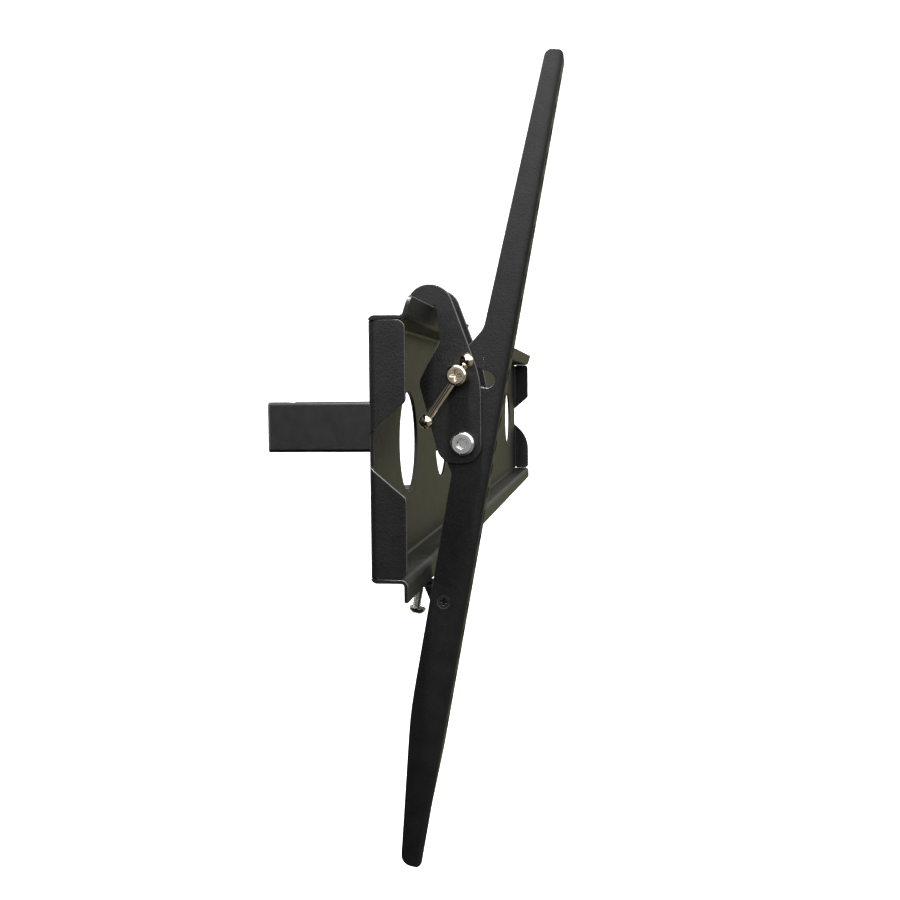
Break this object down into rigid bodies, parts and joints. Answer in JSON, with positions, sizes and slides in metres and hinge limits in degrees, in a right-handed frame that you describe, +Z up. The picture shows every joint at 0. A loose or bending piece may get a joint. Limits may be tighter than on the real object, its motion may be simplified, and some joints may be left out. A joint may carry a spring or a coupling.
{
  "type": "swivel tv wall mount",
  "caption": "Swivelling wall mount: a tube arm carries a wide folded faceplate on a vertical pivot, with a hook-on tilting bracket for the screen, clamp screw and safety screw.",
  "frame": {"origin": "centre of the vertical pivot bore at the arm's wall end", "axes": "+Z up along the wall pivot bore, +X along the faceplate, +Y towards the wall, -Y towards the screen"},
  "size_m": [0.814, 0.2586, 0.4306],
  "materials": {
    "powder_coat": "satin black powder coat",
    "zinc_steel": "bright zinc plate",
    "nickel": "bright nickel plate",
    "black_plastic": "matt moulded black",
    "black_screw": "black oxide"
  },
  "bodies": {
    "arm": {"arm_tube": "powder_coat", "wall_pivot_sleeve": "zinc_steel", "arm_end_cap": "black_plastic", "swivel_post": "powder_coat", "upper_swivel_bush": "black_plastic", "lower_swivel_bush": "black_plastic"},
    "swivel_plate": {"faceplate": "powder_coat", "near_rear_stiffener": "powder_coat", "far_rear_stiffener": "powder_coat", "swivel_yoke": "powder_coat", "yoke_bolts": "black_screw", "yoke_nuts": "zinc_steel", "swivel_bolt": "zinc_steel", "swivel_washers": "zinc_steel", "swivel_nut": "zinc_steel"},
    "hook_carriage": {"hook_bracket": "powder_coat", "tilt_pivot_bolt": "zinc_steel", "pivot_nut_washer": "zinc_steel", "pivot_nut": "zinc_steel", "pivot_spacer": "zinc_steel", "near_friction_washer": "black_plastic", "far_friction_washer": "black_plastic", "clamp_nut": "zinc_steel"},
    "tilt_bracket": {"tv_bracket": "powder_coat", "safety_clip": "powder_coat", "clip_screw": "black_screw", "clip_nut": "zinc_steel", "security_screw": "nickel"},
    "clamp": {"clamp_screw": "nickel"},
    "clamp_bar": {"tommy_bar": "nickel", "tommy_bar_end_ball": "nickel"}
  },
  "joints": [
    {"name": "plate_swivel", "type": "hinge", "parent": "arm", "child": "swivel_plate", "pos_m": [0, -0.077, 0], "axis": [0, 0, 1], "range_deg": [-45, 45]},
    {"name": "hook_slide", "type": "slide", "parent": "swivel_plate", "child": "hook_carriage", "axis": [1, 0, 0], "range_m": [-0.045, 0.112]},
    {"name": "screen_tilt", "type": "hinge", "parent": "hook_carriage", "child": "tilt_bracket", "pos_m": [-0.33215, -0.1863, 0], "axis": [1, 0, 0], "range_deg": [-15.4, 0]},
    {"name": "clamp_turn", "type": "hinge", "parent": "hook_carriage", "child": "clamp", "pos_m": [-0.337, -0.18463, 0.03536], "axis": [1, 0, 0], "range_deg": [-180, 0]},
    {"name": "bar_slide", "type": "slide", "parent": "clamp", "child": "clamp_bar", "axis": [0, -0.5721, 0.8202], "range_m": [0, 0.0195]}
  ]
}
